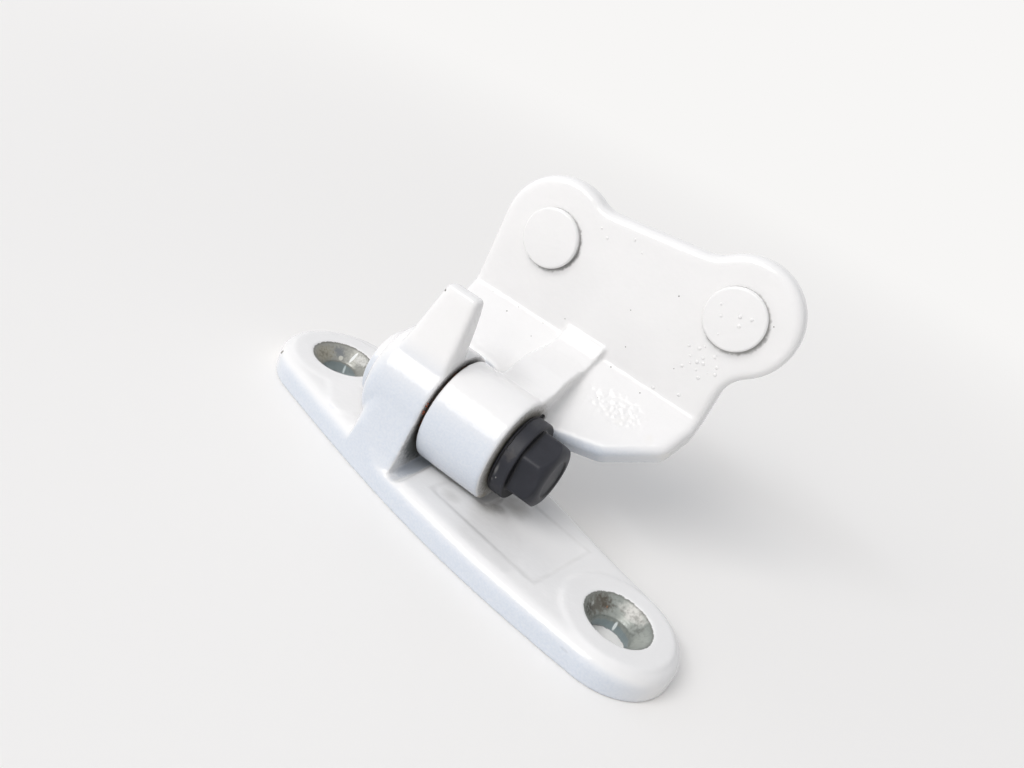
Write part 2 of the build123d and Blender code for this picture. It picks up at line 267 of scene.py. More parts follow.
def addPanelDirt(tree, place, panel):
    # Painted shade with dirt: a grey line in patches along the step round the shallow panel
    fromMiddle = addNode(tree, "ShaderNodeVectorMath", {"operation": "SUBTRACT"}, {
        0: place, 1: Vector(panel["centre"]) * mm}).outputs[0]
    turned = addNode(tree, "ShaderNodeVectorRotate", {"rotation_type": "Z_AXIS"}, {
        "Vector": fromMiddle, "Angle": math.radians(panel["turn"])}).outputs[0]
    out = addNode(tree, "ShaderNodeVectorMath", {"operation": "ABSOLUTE"}, {0: turned}).outputs[0]
    out = addNode(tree, "ShaderNodeVectorMath", {"operation": "SUBTRACT"}, {
        0: out, 1: Vector(panel["half"]) * mm}).outputs[0]
    sides = addNode(tree, "ShaderNodeSeparateXYZ", None, {0: out}).outputs
    edge = addNode(tree, "ShaderNodeMath", {"operation": "MAXIMUM"}, {0: sides[0], 1: sides[1]}).outputs[0]
    edge = addBand(tree, edge, panel["dirt"])
    near = addNode(tree, "ShaderNodeMapRange", None, {
        "Value": sides[2], "From Min": panel["depth"][0] * mm, "From Max": panel["depth"][1] * mm,
        "To Min": 1.0, "To Max": 0.0}).outputs[0]
    patchy = addNode(tree, "ShaderNodeTexNoise", None, {
        "Vector": place, "Scale": 1 / (panel["patchWidth"] * mm), "Detail": 3.0}).outputs["Fac"]
    edge = addNode(tree, "ShaderNodeMath", {"operation": "MULTIPLY"}, {0: edge, 1: near}).outputs[0]
    return addNode(tree, "ShaderNodeMath", {"operation": "MULTIPLY"}, {0: edge, 1: patchy}).outputs[0]


# Countersinks turned bare through the paint: grey steel with old sealant and grease on it
seatLook = {
    "grainWidth": 0.7 * mm,
    "rimWander": 0.5 * mm,
    "rimEdge": (-0.05, 0.08),
    "above": (0.12, 0.3),
    "roughness": (0.28, 0.42),
    "markRoughness": 0.6,
    "rimDirtWidth": 0.45,
    "rimDirtStrength": 0.5,
    "turningPitch": 0.45 * mm,  # real turning marks are finer than this shows
    "turningDepth": 0.03 * mm,
}


def addSeat(tree, place, seat, colour, gloss, metal):
    # Lays one seat's bare steel over the colour, the roughness and the metal of the paint
    inwards = addNode(tree, "ShaderNodeVectorMath", {"operation": "SUBTRACT"}, {
        0: place, 1: Vector((*seat["centre"], 0)) * mm}).outputs[0]
    flat = addNode(tree, "ShaderNodeVectorMath", {"operation": "MULTIPLY"}, {0: inwards, 1: (1, 1, 0)}).outputs[0]
    radius = addNode(tree, "ShaderNodeVectorMath", {"operation": "LENGTH"}, {0: flat}).outputs["Value"]
    grain = addNode(tree, "ShaderNodeTexNoise", None, {
        "Vector": place, "Scale": 1 / seatLook["grainWidth"], "Detail": 4.0}).outputs["Fac"]
    rim = addNode(tree, "ShaderNodeMath", {"operation": "MULTIPLY_ADD"}, {
        0: grain, 1: seatLook["rimWander"], 2: radius}).outputs[0]
    inner, outer = ((seat["radius"] + past) * mm for past in seatLook["rimEdge"])
    bare = addNode(tree, "ShaderNodeMapRange", None, {
        "Value": rim, "From Min": inner, "From Max": outer, "To Min": 1.0, "To Max": 0.0}).outputs[0]
    above = addNode(tree, "ShaderNodeSeparateXYZ", None, {0: place}).outputs[2]
    above = addNode(tree, "ShaderNodeMapRange", None, {
        "Value": above, "From Min": seatLook["above"][0] * mm, "From Max": seatLook["above"][1] * mm}).outputs[0]
    bare = addNode(tree, "ShaderNodeMath", {"operation": "MULTIPLY"}, {0: bare, 1: above}).outputs[0]
    tint = addNode(tree, "ShaderNodeMix", inColour, {
        0: grain, 6: linear(seat["steelDark"]), 7: linear(seat["steel"])}).outputs[2]
    shine = addNode(tree, "ShaderNodeMapRange", None, {
        "Value": grain, "To Min": seatLook["roughness"][0], "To Max": seatLook["roughness"][1]}).outputs[0]
    steel = addNode(tree, "ShaderNodeMath", {"operation": "MULTIPLY"}, {0: bare, 1: seat["metallic"]}).outputs[0]
    for mark in seat["marks"]:
        shows = addMark(tree, place, mark)
        tint = addNode(tree, "ShaderNodeMix", inColour, {
            0: shows, 6: tint, 7: linear(mark["colour"])}).outputs[2]
        shine = addNode(tree, "ShaderNodeMix", inNumbers, {
            0: shows, 2: shine, 3: mark.get("roughness", seatLook["markRoughness"])}).outputs[0]
        steel = addNode(tree, "ShaderNodeMix", inNumbers, {
            0: shows, 2: steel, 3: mark.get("metallic", 0.0)}).outputs[0]
    dirt = addNode(tree, "ShaderNodeMapRange", eased, {
        "Value": rim, "From Min": (seat["radius"] - seatLook["rimDirtWidth"]) * mm,
        "From Max": seat["radius"] * mm, "To Max": seatLook["rimDirtStrength"]}).outputs[0]
    tint = addNode(tree, "ShaderNodeMix", inColour, {0: dirt, 6: tint, 7: linear(seat["rimDirt"])}).outputs[2]
    colour = addNode(tree, "ShaderNodeMix", inColour, {0: bare, 6: colour, 7: tint}).outputs[2]
    gloss = addNode(tree, "ShaderNodeMix", inNumbers, {0: bare, 2: gloss, 3: shine}).outputs[0]
    metal = addNode(tree, "ShaderNodeMix", inNumbers, {0: bare, 2: metal, 3: steel}).outputs[0]
    return colour, gloss, metal


def makeEnamel(name, marks=(), blisters=None, seats=(), panel=None):
    # Sprayed glossy enamel over forged steel: a deep white with sharp but wavy highlights
    material, tree, shader, place = newMaterial(name)
    cloud = addNode(tree, "ShaderNodeTexNoise", None, {
        "Vector": place, "Scale": 1 / enamel["cloudWidth"], "Detail": 3.0}).outputs["Fac"]
    colour = addNode(tree, "ShaderNodeMix", inColour, {
        0: cloud, 6: linear(enamel["shade"]), 7: linear(enamel["colour"])}).outputs[2]
    gloss = addNode(tree, "ShaderNodeMapRange", None, {
        "Value": cloud, "To Min": enamel["roughness"][0], "To Max": enamel["roughness"][1]}).outputs[0]
    # Painted shade: low front faces tinted bluish grey
    paintedFrontShade = addThinCoat(tree, place)
    colour = addNode(tree, "ShaderNodeMix", inColour, {0: paintedFrontShade, 6: colour, 7: linear(enamel["paintedFrontShade"])}).outputs[2]
    for mark in marks:
        shows = addMark(tree, place, mark)
        colour = addNode(tree, "ShaderNodeMix", inColour, {
            0: shows, 6: colour, 7: linear(mark["colour"])}).outputs[2]
        gloss = addNode(tree, "ShaderNodeMix", inNumbers, {
            0: shows, 2: gloss, 3: mark.get("roughness", enamel["markRoughness"])}).outputs[0]
    # Painted shade with dirt along the panel's step
    if panel:
        dirt = addPanelDirt(tree, place, panel)
        colour = addNode(tree, "ShaderNodeMix", inColour, {
            0: dirt, 6: colour, 7: linear(panel["dirt"]["colour"])}).outputs[2]
    metal = 0.0
    for seat in seats:
        colour, gloss, metal = addSeat(tree, place, seat, colour, gloss, metal)
    bump = None
    for ripple in enamel["ripples"]:
        noise = addNode(tree, "ShaderNodeTexNoise", None, {
            "Vector": place, "Scale": 1 / ripple["width"], "Detail": ripple["detail"]}).outputs["Fac"]
        under = {"Normal": bump} if bump else {}
        bump = addNode(tree, "ShaderNodeBump", None, {
            "Distance": ripple["height"], "Height": noise, **under}).outputs[0]
    if blisters:
        shows = addMark(tree, place, blisters)
        cells = addNode(tree, "ShaderNodeTexVoronoi", {"feature": "SMOOTH_F1"}, {
            "Vector": place, "Scale": 1 / (blisters["cell"] * mm), "Smoothness": enamel["blisterSmoothness"]})
        height = addNode(tree, "ShaderNodeMath", {"operation": "MULTIPLY"}, {
            0: cells.outputs["Distance"], 1: shows}).outputs[0]
        bump = addNode(tree, "ShaderNodeBump", {"invert": True}, {
            "Distance": blisters["height"] * mm, "Height": height, "Normal": bump}).outputs[0]
    if seats:
        # Turning marks round each seat
        rings = addNode(tree, "ShaderNodeSeparateXYZ", None, {0: place}).outputs[2]
        rings = addNode(tree, "ShaderNodeMath", {"operation": "MULTIPLY"}, {
            0: rings, 1: 2 * math.pi / seatLook["turningPitch"]}).outputs[0]
        rings = addNode(tree, "ShaderNodeMath", {"operation": "SINE"}, {0: rings}).outputs[0]
        rings = addNode(tree, "ShaderNodeMath", {"operation": "MULTIPLY"}, {0: rings, 1: metal}).outputs[0]
        bump = addNode(tree, "ShaderNodeBump", None, {
            "Distance": seatLook["turningDepth"], "Height": rings, "Normal": bump}).outputs[0]
        tree.links.new(metal, shader.inputs["Metallic"])
    tree.links.new(colour, shader.inputs["Base Color"])
    tree.links.new(gloss, shader.inputs["Roughness"])
    tree.links.new(bump, shader.inputs["Normal"])
    shader.inputs["IOR"].default_value = enamel["ior"]
    return material


def bake(piece):
    evaluated = piece.evaluated_get(bpy.context.evaluated_depsgraph_get())
    baked = bpy.data.meshes.new_from_object(evaluated)
    piece.modifiers.clear()
    piece.data = baked


def softnessAt(point, look):
    # How far smoothing may move a point: little round the seats and inside the boxes that stay crisp
    for seat in look.get("seats", ()):
        if (point.xy - Vector(seat["centre"]) * mm).length < look["seatRim"] * mm:
            return look["seatSoftness"]
    for low, high, softness in look.get("crisp", ()):
        if all(least * mm < value < most * mm for least, value, most in zip(low, point, high)):
            return softness
    return 1.0


def softened(node, name, look):
    # A smooth-skinned copy of a CAD node, with the forging's soft inner corners
    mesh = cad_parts[node].data.copy()
    work = bmesh.new()
    work.from_mesh(mesh)
    bmesh.ops.remove_doubles(work, verts=work.verts, dist=weldDistance)
    work.to_mesh(mesh)
    work.free()
    mesh.materials.clear()
    piece = newObject(name, mesh)
    remesh = piece.modifiers.new("remesh", "REMESH")
    remesh.mode = "VOXEL"
    remesh.voxel_size = look["voxel"]
    bake(piece)
    group = piece.vertex_groups.new(name="soft")
    for vertex in piece.data.vertices:
        group.add([vertex.index], softnessAt(vertex.co, look), "REPLACE")
    smooth = piece.modifiers.new("smooth", "SMOOTH")
    smooth.factor = smoothFactor
    smooth.iterations = look["rounds"]
    smooth.vertex_group = "soft"
    bake(piece)
    piece.vertex_groups.clear()
    piece.data.shade_smooth()
    return piece


# Pillar leaf
pillarLeaf = {
    "voxel": 0.42 * mm,
    "rounds": 11,
    "seatRim": 8.5,
    "seatSoftness": 0.15,
    # The groove beside the lug, and the foot
    "crisp": (((-11.0, -20.5, 2.0), (-3.2, 14.0, 7.2), 0.12),
              ((-99, -99, -99), (99, 99, 1.2), 0.2)),
    "panel": {
        "centre": (14.95, -3.7, 6.4), "half": (15.25, 10.75, 0.0), "turn": 8.4, "depth": (0.4, 0.6),
        "patchWidth": 2.2,
        # Painted shade with dirt: the grey line along the panel's step
        "dirt": {"colour": "B4B2AD", "at": 0.0, "inner": 0.0, "outer": 0.9, "strength": 0.32},
    },
    "seats": [
        {
            "centre": (-45.5, 9.1), "radius": 7.95, "steel": "B3B3AC", "steelDark": "7C7D79",
            "rimDirt": "4B4943", "metallic": 0.25,
            "marks": [
                {"at": (-46.5, 10.0, 1.2), "size": (6.0, 6.0, 2.3), "colour": "98A3A5", "ragged": 0.05,
                 "softness": 0.15, "roughness": 0.3, "metallic": 0.5},
                {"at": (-51.2, 8.4, 4.8), "size": (3.3, 5.0, 2.6), "colour": "ADA898", "softness": 0.7,
                 "grain": 0.8, "strength": 0.9},
                {"at": (-51.0, 9.0, 4.8), "size": (2.2, 4.5, 2.6), "colour": "6C6A60", "ragged": 1.2,
                 "softness": 1.6, "grain": 0.8, "strength": 0.7},
                {"at": (-49.8, 13.2, 5.0), "size": (1.8, 1.6, 2.2), "colour": "7E8183", "softness": 0.7,
                 "grain": 0.7},
                {"at": (-48.7, 12.9, 4.0), "size": (0.55, 0.6, 0.9), "colour": "C6C5BC", "ragged": 0.1,
                 "softness": 0.15},
                {"at": (-44.0, 15.3, 5.3), "size": (3.4, 1.8, 1.7), "colour": "D3D2CD", "softness": 0.7,
                 "grain": 0.6},
                {"at": (-43.6, 14.9, 5.2), "size": (3.2, 1.8, 1.7), "colour": "77766F", "ragged": 1.2,
                 "softness": 1.6, "grain": 0.9, "strength": 0.6},
                {"at": (-46.5, 15.0, 5.0), "size": (0.4, 1.9, 1.9), "colour": "E6E8E6", "ragged": 0.1,
                 "roughness": 0.3},
                # Painted highlight: a bright glint streak on the bore
                {"at": (-46.75, 13.2, 1.6), "size": (0.35, 0.9, 1.6), "colour": "D4DFE0", "ragged": 0.05,
                 "softness": 0.4, "roughness": 0.25},
            ],
        },
        {
            "centre": (45.5, -9.1), "radius": 7.95, "steel": "A9ADA7", "steelDark": "808581",
            "rimDirt": "55534C", "metallic": 0.25,
            "marks": [
                {"at": (45.5, -9.1, 1.2), "size": (5.3, 5.3, 2.3), "colour": "8C989B", "ragged": 0.05,
                 "softness": 0.15, "roughness": 0.3, "metallic": 0.5},
                {"at": (40.3, -7.6, 5.2), "size": (3.6, 6.2, 2.6), "colour": "66635B", "ragged": 0.35,
                 "softness": 0.8},
                {"at": (41.2, -5.0, 5.2), "size": (3.4, 2.6, 2.0), "colour": "4A4237", "ragged": 0.6,
                 "softness": 1.0, "grain": 0.8, "strength": 0.85},
                {"at": (39.4, -10.8, 5.0), "size": (1.6, 2.8, 2.0), "colour": "2E2E2B", "ragged": 0.9,
                 "softness": 1.3, "grain": 0.5, "strength": 0.8},
                {"at": (39.5, -8.0, 5.4), "size": (0.8, 0.9, 0.8), "colour": "C9CBC6", "ragged": 0.4,
                 "softness": 0.8, "grain": 0.4, "strength": 0.7},
                {"at": (41.9, -5.0, 4.9), "size": (0.22, 0.5, 1.2), "colour": "A0704E", "ragged": 0.35,
                 "softness": 0.8, "grain": 0.4, "strength": 0.85},
                {"at": (47.3, -2.9, 5.8), "size": (4.3, 2.6, 2.1), "colour": "D8D6D0", "softness": 0.7,
                 "grain": 1.3},
                {"at": (48.2, -3.2, 5.4), "size": (4.4, 3.0, 2.4), "colour": "77756E", "ragged": 1.3,
                 "softness": 1.6, "grain": 0.9, "strength": 0.6},
                {"at": (50.9, -9.0, 5.0), "size": (3.0, 4.6, 2.8), "colour": "AEB2AB", "ragged": 0.2,
                 "softness": 0.6, "grain": 1.2, "strength": 0.7, "roughness": 0.4},
                {"at": (49.8, -6.0, 4.6), "size": (2.0, 2.4, 1.6), "colour": "62645F", "ragged": 1.2,
                 "softness": 1.6, "grain": 0.8, "strength": 0.55},
                # Painted highlight: a bright glint streak on the bore
                {"at": (45.3, -4.8, 1.7), "size": (0.4, 0.9, 1.5), "colour": "E4EAEA", "ragged": 0.02,
                 "softness": 0.4, "roughness": 0.25},
            ],
        },
    ],
    "marks": [
        # Painted shade: the lug's bare face in the gap is coloured dark grey for the gap's shade, with a darker
        # painted ring by the barrel, and the groove floor is painted bluish grey for the shadow of lug and barrel
        {"at": (-10.5, -5.5, 13.0), "size": (0.45, 10.5, 10.5), "colour": "5A5D5C", "ragged": 0.08,
         "softness": 0.5},
        {"at": (-10.5, 0.0, 18.5), "size": (0.3, 13.7, 13.7), "colour": "4A4744", "ragged": 0.03,
         "softness": 0.2, "grain": 0.6},
        {"at": (-8.9, -4.0, 5.4), "size": (2.6, 15.5, 0.9), "colour": "B4BAC2", "ragged": 0.1,
         "softness": 0.5, "strength": 0.9},
        # Chips at the leaf's end and on the finger's tip
        {"at": (-55.6, -1.8, 4.6), "size": (0.75, 0.55, 0.6), "colour": "77726A", "grain": 0.4},
        {"at": (-56.6, 0.6, 4.4), "size": (0.4, 0.5, 0.5), "colour": "A8A49B", "grain": 0.4},
        {"at": (-18.7, -8.3, 44.8), "size": (0.45, 0.4, 0.35), "colour": "55524C", "ragged": 0.2,
         "grain": 0.4},
        # Grime with painted shadow on the leaf's top under the barrel and the cap and in the panel, and a bluish
        # grey streak low on the front wall
        {"at": (9.0, -4.6, 6.3), "size": (4.4, 3.0, 0.9), "colour": "8A867E", "ragged": 0.15, "grain": 3.0,
         "strength": 0.45, "softness": 1.0},
        {"at": (13.6, 1.6, 6.3), "size": (4.4, 4.6, 0.9), "colour": "8F8B82", "ragged": 0.15, "grain": 3.0,
         "strength": 0.45, "softness": 1.0},
        {"at": (10.8, -2.6, 6.3), "size": (3.0, 2.2, 0.9), "colour": "66635C", "ragged": 0.2, "grain": 2.4,
         "strength": 0.45, "softness": 1.0},
        {"at": (2.4, -9.6, 6.2), "size": (3.4, 3.0, 0.6), "colour": "B4B2AD", "ragged": 0.1, "grain": 3.0,
         "strength": 0.4, "softness": 1.0},
        {"at": (41.0, -23.8, 3.9), "size": (1.4, 0.5, 0.35), "colour": "B9BDC0", "ragged": 0.1,
         "grain": 2.0, "strength": 0.5, "softness": 0.8},
        {"at": (2.0, 3.0, 6.0), "size": (14.0, 9.0, 1.2), "colour": "C9C6BE", "ragged": 0.5, "grain": 3.0,
         "strength": 0.4, "softness": 1.0},
    ],
}
leafPiece = softened("pillar_leaf", "pillarLeaf", pillarLeaf)
leafPiece.data.materials.append(makeEnamel(
    "glossy white enamel on forged steel, pillar leaf",
    pillarLeaf["marks"], None, pillarLeaf["seats"], pillarLeaf["panel"]))
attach(leafPiece, "pillar")
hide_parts("pillar_leaf")
print("pillar leaf made", len(leafPiece.data.polygons))

# Door leaf
doorLeaf = {
    "voxel": 0.42 * mm,
    "rounds": 11,
    # The rib, and the fold between web and plate
    "crisp": (((-6, 8, 28), (9, 99, 99), 0.25),
              ((-99, 21, 34), (99, 26.5, 41), 0.25)),
    "blisters": {
        "at": (18.5, 19.0, 31.8), "size": (10.5, 5.5, 5.5), "ragged": 0.15, "grain": 3.0, "softness": 0.9,
        "cell": 1.15, "height": 0.3,
    },
    "marks": [
        # Worn ends of the barrel, coloured grey as painted shade where the cap and the lug shade them, and old
        # grease under it
        {"at": (7.3, 0.0, 18.5), "size": (0.5, 13.5, 13.5), "colour": "8D8980", "ragged": 0.06,
         "grain": 0.8},
        {"at": (-9.9, 0.0, 18.5), "size": (0.35, 13.5, 13.5), "colour": "6E6B66", "ragged": 0.06,
         "softness": 0.5, "grain": 0.8},
        {"at": (7.2, -6.0, 7.6), "size": (0.8, 3.4, 1.4), "colour": "A49B88", "ragged": 0.5, "grain": 0.7,
         "strength": 0.7},
        {"at": (33.9, 25.3, 57.2), "size": (0.2, 0.5, 1.4), "colour": "4A4744", "ragged": 0.2,
         "grain": 0.6, "strength": 0.8},
        # Painted shadow round the two stud heads, each ring set off to the lower right where the head casts its
        # shadow
        {"at": (30.45, 25.5, 61.3), "size": (7.55, 0.5, 7.55), "colour": "7E7C78", "ragged": 0.04,
         "softness": 0.1, "strength": 0.7},
        {"at": (-15.0, 25.5, 55.55), "size": (7.5, 0.5, 7.5), "colour": "6E6C69", "ragged": 0.04,
         "softness": 0.1, "strength": 0.75},
        # Yellowed paint on the web, and grime with painted shade in the corner behind the barrel's end
        {"at": (24.0, 20.0, 29.0), "size": (14.0, 3.0, 3.0), "colour": "E8E3D8", "ragged": 0.4,
         "grain": 4.0, "strength": 0.35, "softness": 0.8},
        {"at": (8.6, 8.0, 24.0), "size": (1.9, 2.4, 2.0), "colour": "6A675F", "ragged": 0.4, "grain": 1.2,
         "strength": 0.45, "softness": 0.9},
    ],
}
doorPiece = softened("door_leaf", "doorLeaf", doorLeaf)
doorPiece.data.materials.append(makeEnamel(
    "glossy white enamel on forged steel, door leaf", doorLeaf["marks"], doorLeaf["blisters"]))
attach(doorPiece, "door")
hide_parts("door_leaf")
print("door leaf made", len(doorPiece.data.polygons))

# Pimples under the paint, grit on it and rust in the gap: small lenses on a list of spots, in mm
pimples = {
    "material": "white enamel over a pimple",
    "radius": 0.34 * mm,
    "flatness": 0.5,
    "sizes": (0.6, 1.35),
    "plate": [
        (26.6, 25.5, 52.0), (24.3, 25.5, 51.4), (25.2, 25.5, 46.6), (29.6, 25.5, 46.2), (31.9, 25.5, 50.4),
        (27.4, 25.5, 53.0), (25.6, 25.5, 49.6), (27.6, 25.5, 49.1), (32.4, 25.5, 48.8), (28.3, 25.5, 50.6),
        (2.35, 25.5, 65.3), (5.1, 25.5, 63.6), (-5.7, 25.5, 63.8), (-3.6, 25.5, 62.5), (26.4, 25.5, 48.1),
        (29.0, 25.5, 49.5), (30.9, 25.5, 48.3), (28.3, 25.5, 47.5), (30.4, 25.5, 52.2), (22.1, 25.45, 38.6),
        (27.9, 25.5, 40.4), (26.0, 23.8, 63.3), (27.3, 23.8, 61.1), (30.8, 23.8, 63.0), (31.6, 23.8, 61.2),
        (28.7, 23.8, 57.4), (33.2, 23.8, 63.7),
    ],
}
grit = {
    "material": "dark road grit",
    "colour": "4C4944",
    "paler": "8C8880",
    "radius": 0.12 * mm,
    "flatness": 0.5,
    "sizes": (0.55, 1.3),
    "plate": [
        (-3.9, 25.5, 41.0), (17.0, 25.5, 59.6), (9.0, 25.5, 51.2), (37.6, 25.5, 64.4), (24.0, 25.5, 45.0),
        (12.0, 25.5, 43.2),
    ],
    "web": [
        (-23.1, 24.81, 37.27), (-15.4, 24.95, 37.41), (-17.0, 23.07, 35.62), (-8.1, 24.89, 37.35),
        (-8.2, 21.61, 34.26), (20.4, 23.87, 36.37), (11.4, 24.93, 37.4), (13.5, 19.0, 31.8),
    ],
    "webTilt": 43.1,
}
rust = {
    "material": "red rust in the gap",
    "colour": "8C4526",
    "paler": "5E2E1C",
    "radius": 0.26 * mm,
    "flatness": 0.7,
    "sizes": (0.7, 1.2),
    "gap": [(-10.15, -12.0, 22.9), (-10.15, -12.2, 22.3), (-10.15, -12.3, 20.9), (-10.15, -12.35, 20.4)],
}
lens = {"segments": 14, "rings": 8, "cloudWidth": 2 * mm, "roughness": 0.8}


def scatterLenses(name, look, spots, tilt, seed):
    # Each lens has its own size; tilt turns their axis from up towards the front
    mesh = bpy.data.meshes.new(name)
    mesh.from_pydata([Vector(spot) * mm for spot in spots], [], [])
    piece = newObject(name, mesh)
    group = bpy.data.node_groups.new(name + " tree", "GeometryNodeTree")
    group.interface.new_socket("Geometry", in_out="INPUT", socket_type="NodeSocketGeometry")
    values = {
        "Radius": look["radius"], "Flatness": look["flatness"],
        "Smallest": look["sizes"][0], "Largest": look["sizes"][1], "Tilt": tilt,
    }
    identifiers = {
        label: group.interface.new_socket(label, in_out="INPUT", socket_type="NodeSocketFloat").identifier
        for label in values
    }
    group.interface.new_socket("Geometry", in_out="OUTPUT", socket_type="NodeSocketGeometry")
    given = addNode(group, "NodeGroupInput").outputs
    ball = addNode(group, "GeometryNodeMeshUVSphere", None, {
        "Segments": lens["segments"], "Rings": lens["rings"], "Radius": given["Radius"]})
    squash = addNode(group, "ShaderNodeCombineXYZ", None, {0: 1.0, 1: 1.0, 2: given["Flatness"]})
    ball = addNode(group, "GeometryNodeTransform", None, {
        "Geometry": ball.outputs["Mesh"], "Scale": squash.outputs[0]})
    sizes = addNode(group, "FunctionNodeRandomValue", inNumbers, {
        2: given["Smallest"], 3: given["Largest"], 8: seed})
    turn = addNode(group, "ShaderNodeCombineXYZ", None, {0: given["Tilt"]})
    placed = addNode(group, "GeometryNodeInstanceOnPoints", None, {
        "Points": given["Geometry"], "Instance": ball.outputs[0],
        "Rotation": turn.outputs[0], "Scale": sizes.outputs[1]})
    real = addNode(group, "GeometryNodeRealizeInstances", None, {"Geometry": placed.outputs[0]})
    smooth = addNode(group, "GeometryNodeSetShadeSmooth", None, {0: real.outputs[0]})
    painted = addNode(group, "GeometryNodeSetMaterial", None, {
        "Geometry": smooth.outputs[0], "Material": bpy.data.materials[look["material"]]})
    addNode(group, "NodeGroupOutput", None, {0: painted.outputs[0]})
    modifier = piece.modifiers.new("lenses", "NODES")
    modifier.node_group = group
    for label, value in values.items():
        modifier[identifiers[label]] = value
    bake(piece)
    return piece


makeEnamel(pimples["material"])
for look in (grit, rust):
    material, tree, shader, place = newMaterial(look["material"])
    cloud = addNode(tree, "ShaderNodeTexNoise", None, {"Vector": place, "Scale": 1 / lens["cloudWidth"]})
    tint = addNode(tree, "ShaderNodeMix", inColour, {
        0: cloud.outputs["Fac"], 6: linear(look["colour"]), 7: linear(look["paler"])})
    tree.links.new(tint.outputs[2], shader.inputs["Base Color"])
    shader.inputs["Roughness"].default_value = lens["roughness"]
for name, look, spots, tilt, seed, body in (
    ("platePimples", pimples, pimples["plate"], math.pi / 2, 3, "door"),
    ("plateGrit", grit, grit["plate"], math.pi / 2, 5, "door"),
    ("webGrit", grit, grit["web"], math.radians(grit["webTilt"]), 8, "door"),
    ("gapRust", rust, rust["gap"], math.pi / 2, 2, "pillar"),
):
    piece = scatterLenses(name, look, spots, tilt, seed)
    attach(piece, body)
print("pimples, grit and rust made")

# Pin, with its painted round head
for node in ("hinge_pin", "stud_1", "stud_2"):
    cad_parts[node].data.materials.clear()
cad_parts["hinge_pin"].data.materials.append(makeEnamel("glossy white enamel on the pin", [
    {"at": (-29.1, -3.0, 24.0), "size": (0.6, 1.0, 1.0), "colour": "D8D5CD", "ragged": 0.5, "grain": 0.6,
     "strength": 0.5},
]))

# Studs: painted head on the plate's front, zinc-plated thread behind
stud = {
    "centres": {1: (-15.4, 56.0), 2: (30.04, 61.76)},
    "pitch": 1.25 * mm,
    "depth": 0.70 * mm,
    "radius": 4.0 * mm,
    "from": 31.5 * mm,
    "to": 48.5 * mm,
    "around": 48,
    "perTurn": 10,
    "tip": 0.8 * mm,
    "runOut": 1.4 * mm,
    "flankSlope": 1.25,
    "rootWidth": 0.1,
    "headPast": 0.2 * mm,
    "sharp": 38,
}
# Bright zinc plating: a bluish white metal, faintly cloudy
zinc = {"shade": "7E8388", "colour": "A6A9AB", "cloudWidth": 2.5 * mm, "roughness": (0.22, 0.42)}
zincMaterial, tree, shader, place = newMaterial("bright zinc plate on studs")
cloud = addNode(tree, "ShaderNodeTexNoise", None, {
    "Vector": place, "Scale": 1 / zinc["cloudWidth"], "Detail": 4.0}).outputs["Fac"]
tint = addNode(tree, "ShaderNodeMix", inColour, {
    0: cloud, 6: linear(zinc["shade"]), 7: linear(zinc["colour"])})
gloss = addNode(tree, "ShaderNodeMapRange", None, {
    "Value": cloud, "To Min": zinc["roughness"][0], "To Max": zinc["roughness"][1]})
tree.links.new(tint.outputs[2], shader.inputs["Base Color"])
tree.links.new(gloss.outputs[0], shader.inputs["Roughness"])
shader.inputs["Metallic"].default_value = 1.0

for number, centre in stud["centres"].items():
    node = "stud_" + str(number)
    headMaterial = makeEnamel("glossy white enamel on stud head " + str(number))
    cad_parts[node].data.materials.append(headMaterial)
    # The shaft is a rolled thread: rings of points whose radius follows a helix
    length = stud["to"] - stud["from"]
    around = stud["around"]
    rows = int(length / stud["pitch"] * stud["perTurn"]) + 1
    vertices, faces = [], []
    for row in range(rows):
        along = stud["from"] + length * row / (rows - 1)
        limit = stud["radius"] - max(0.0, stud["tip"] - (stud["to"] - along))
        cut = stud["depth"] * min(1.0, (along - stud["from"]) / stud["runOut"])
        for step in range(around):
            angle = 2 * math.pi * step / around
            phase = (along / stud["pitch"] - angle / (2 * math.pi)) % 1.0
            ridge = min(1.0, max(0.0, abs(2 * phase - 1) * stud["flankSlope"] - stud["rootWidth"]))
            radius = min(stud["radius"] - cut * (1 - ridge), limit)
            vertices.append((
                centre[0] * mm + radius * math.cos(angle), along, centre[1] * mm + radius * math.sin(angle)))
    for start in range(0, (rows - 1) * around, around):
        for step in range(around):
            after = (step + 1) % around
            faces.append([start + step, start + around + step, start + around + after, start + after])
    faces.append(list(range(around)))
    faces.append(list(range(rows * around - 1, (rows - 1) * around - 1, -1)))
    # Head and neck come from the CAD node, cut off at the plate's back
    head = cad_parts[node].data.copy()
    work = bmesh.new()
    work.from_mesh(head)
    bmesh.ops.remove_doubles(work, verts=work.verts, dist=weldDistance)
    bmesh.ops.bisect_plane(
        work, geom=work.verts[:] + work.edges[:] + work.faces[:],
        plane_co=(0, stud["from"] - stud["headPast"], 0), plane_no=(0, 1, 0), clear_outer=True)
    bmesh.ops.holes_fill(work, edges=work.edges[:])
    thread = [work.verts.new(vertex) for vertex in vertices]
    for face in faces:
        work.faces.new([thread[index] for index in face]).material_index = 1
    work.verts.ensure_lookup_table()
    bmesh.ops.recalc_face_normals(work, faces=work.faces[:])
    work.to_mesh(head)
    work.free()
    head.materials.append(zincMaterial)
    head.shade_smooth()
    head.set_sharp_from_angle(angle=math.radians(stud["sharp"]))
    piece = newObject("stud" + str(number), head)
    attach(piece, "door")
    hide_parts(node)
print("studs made")

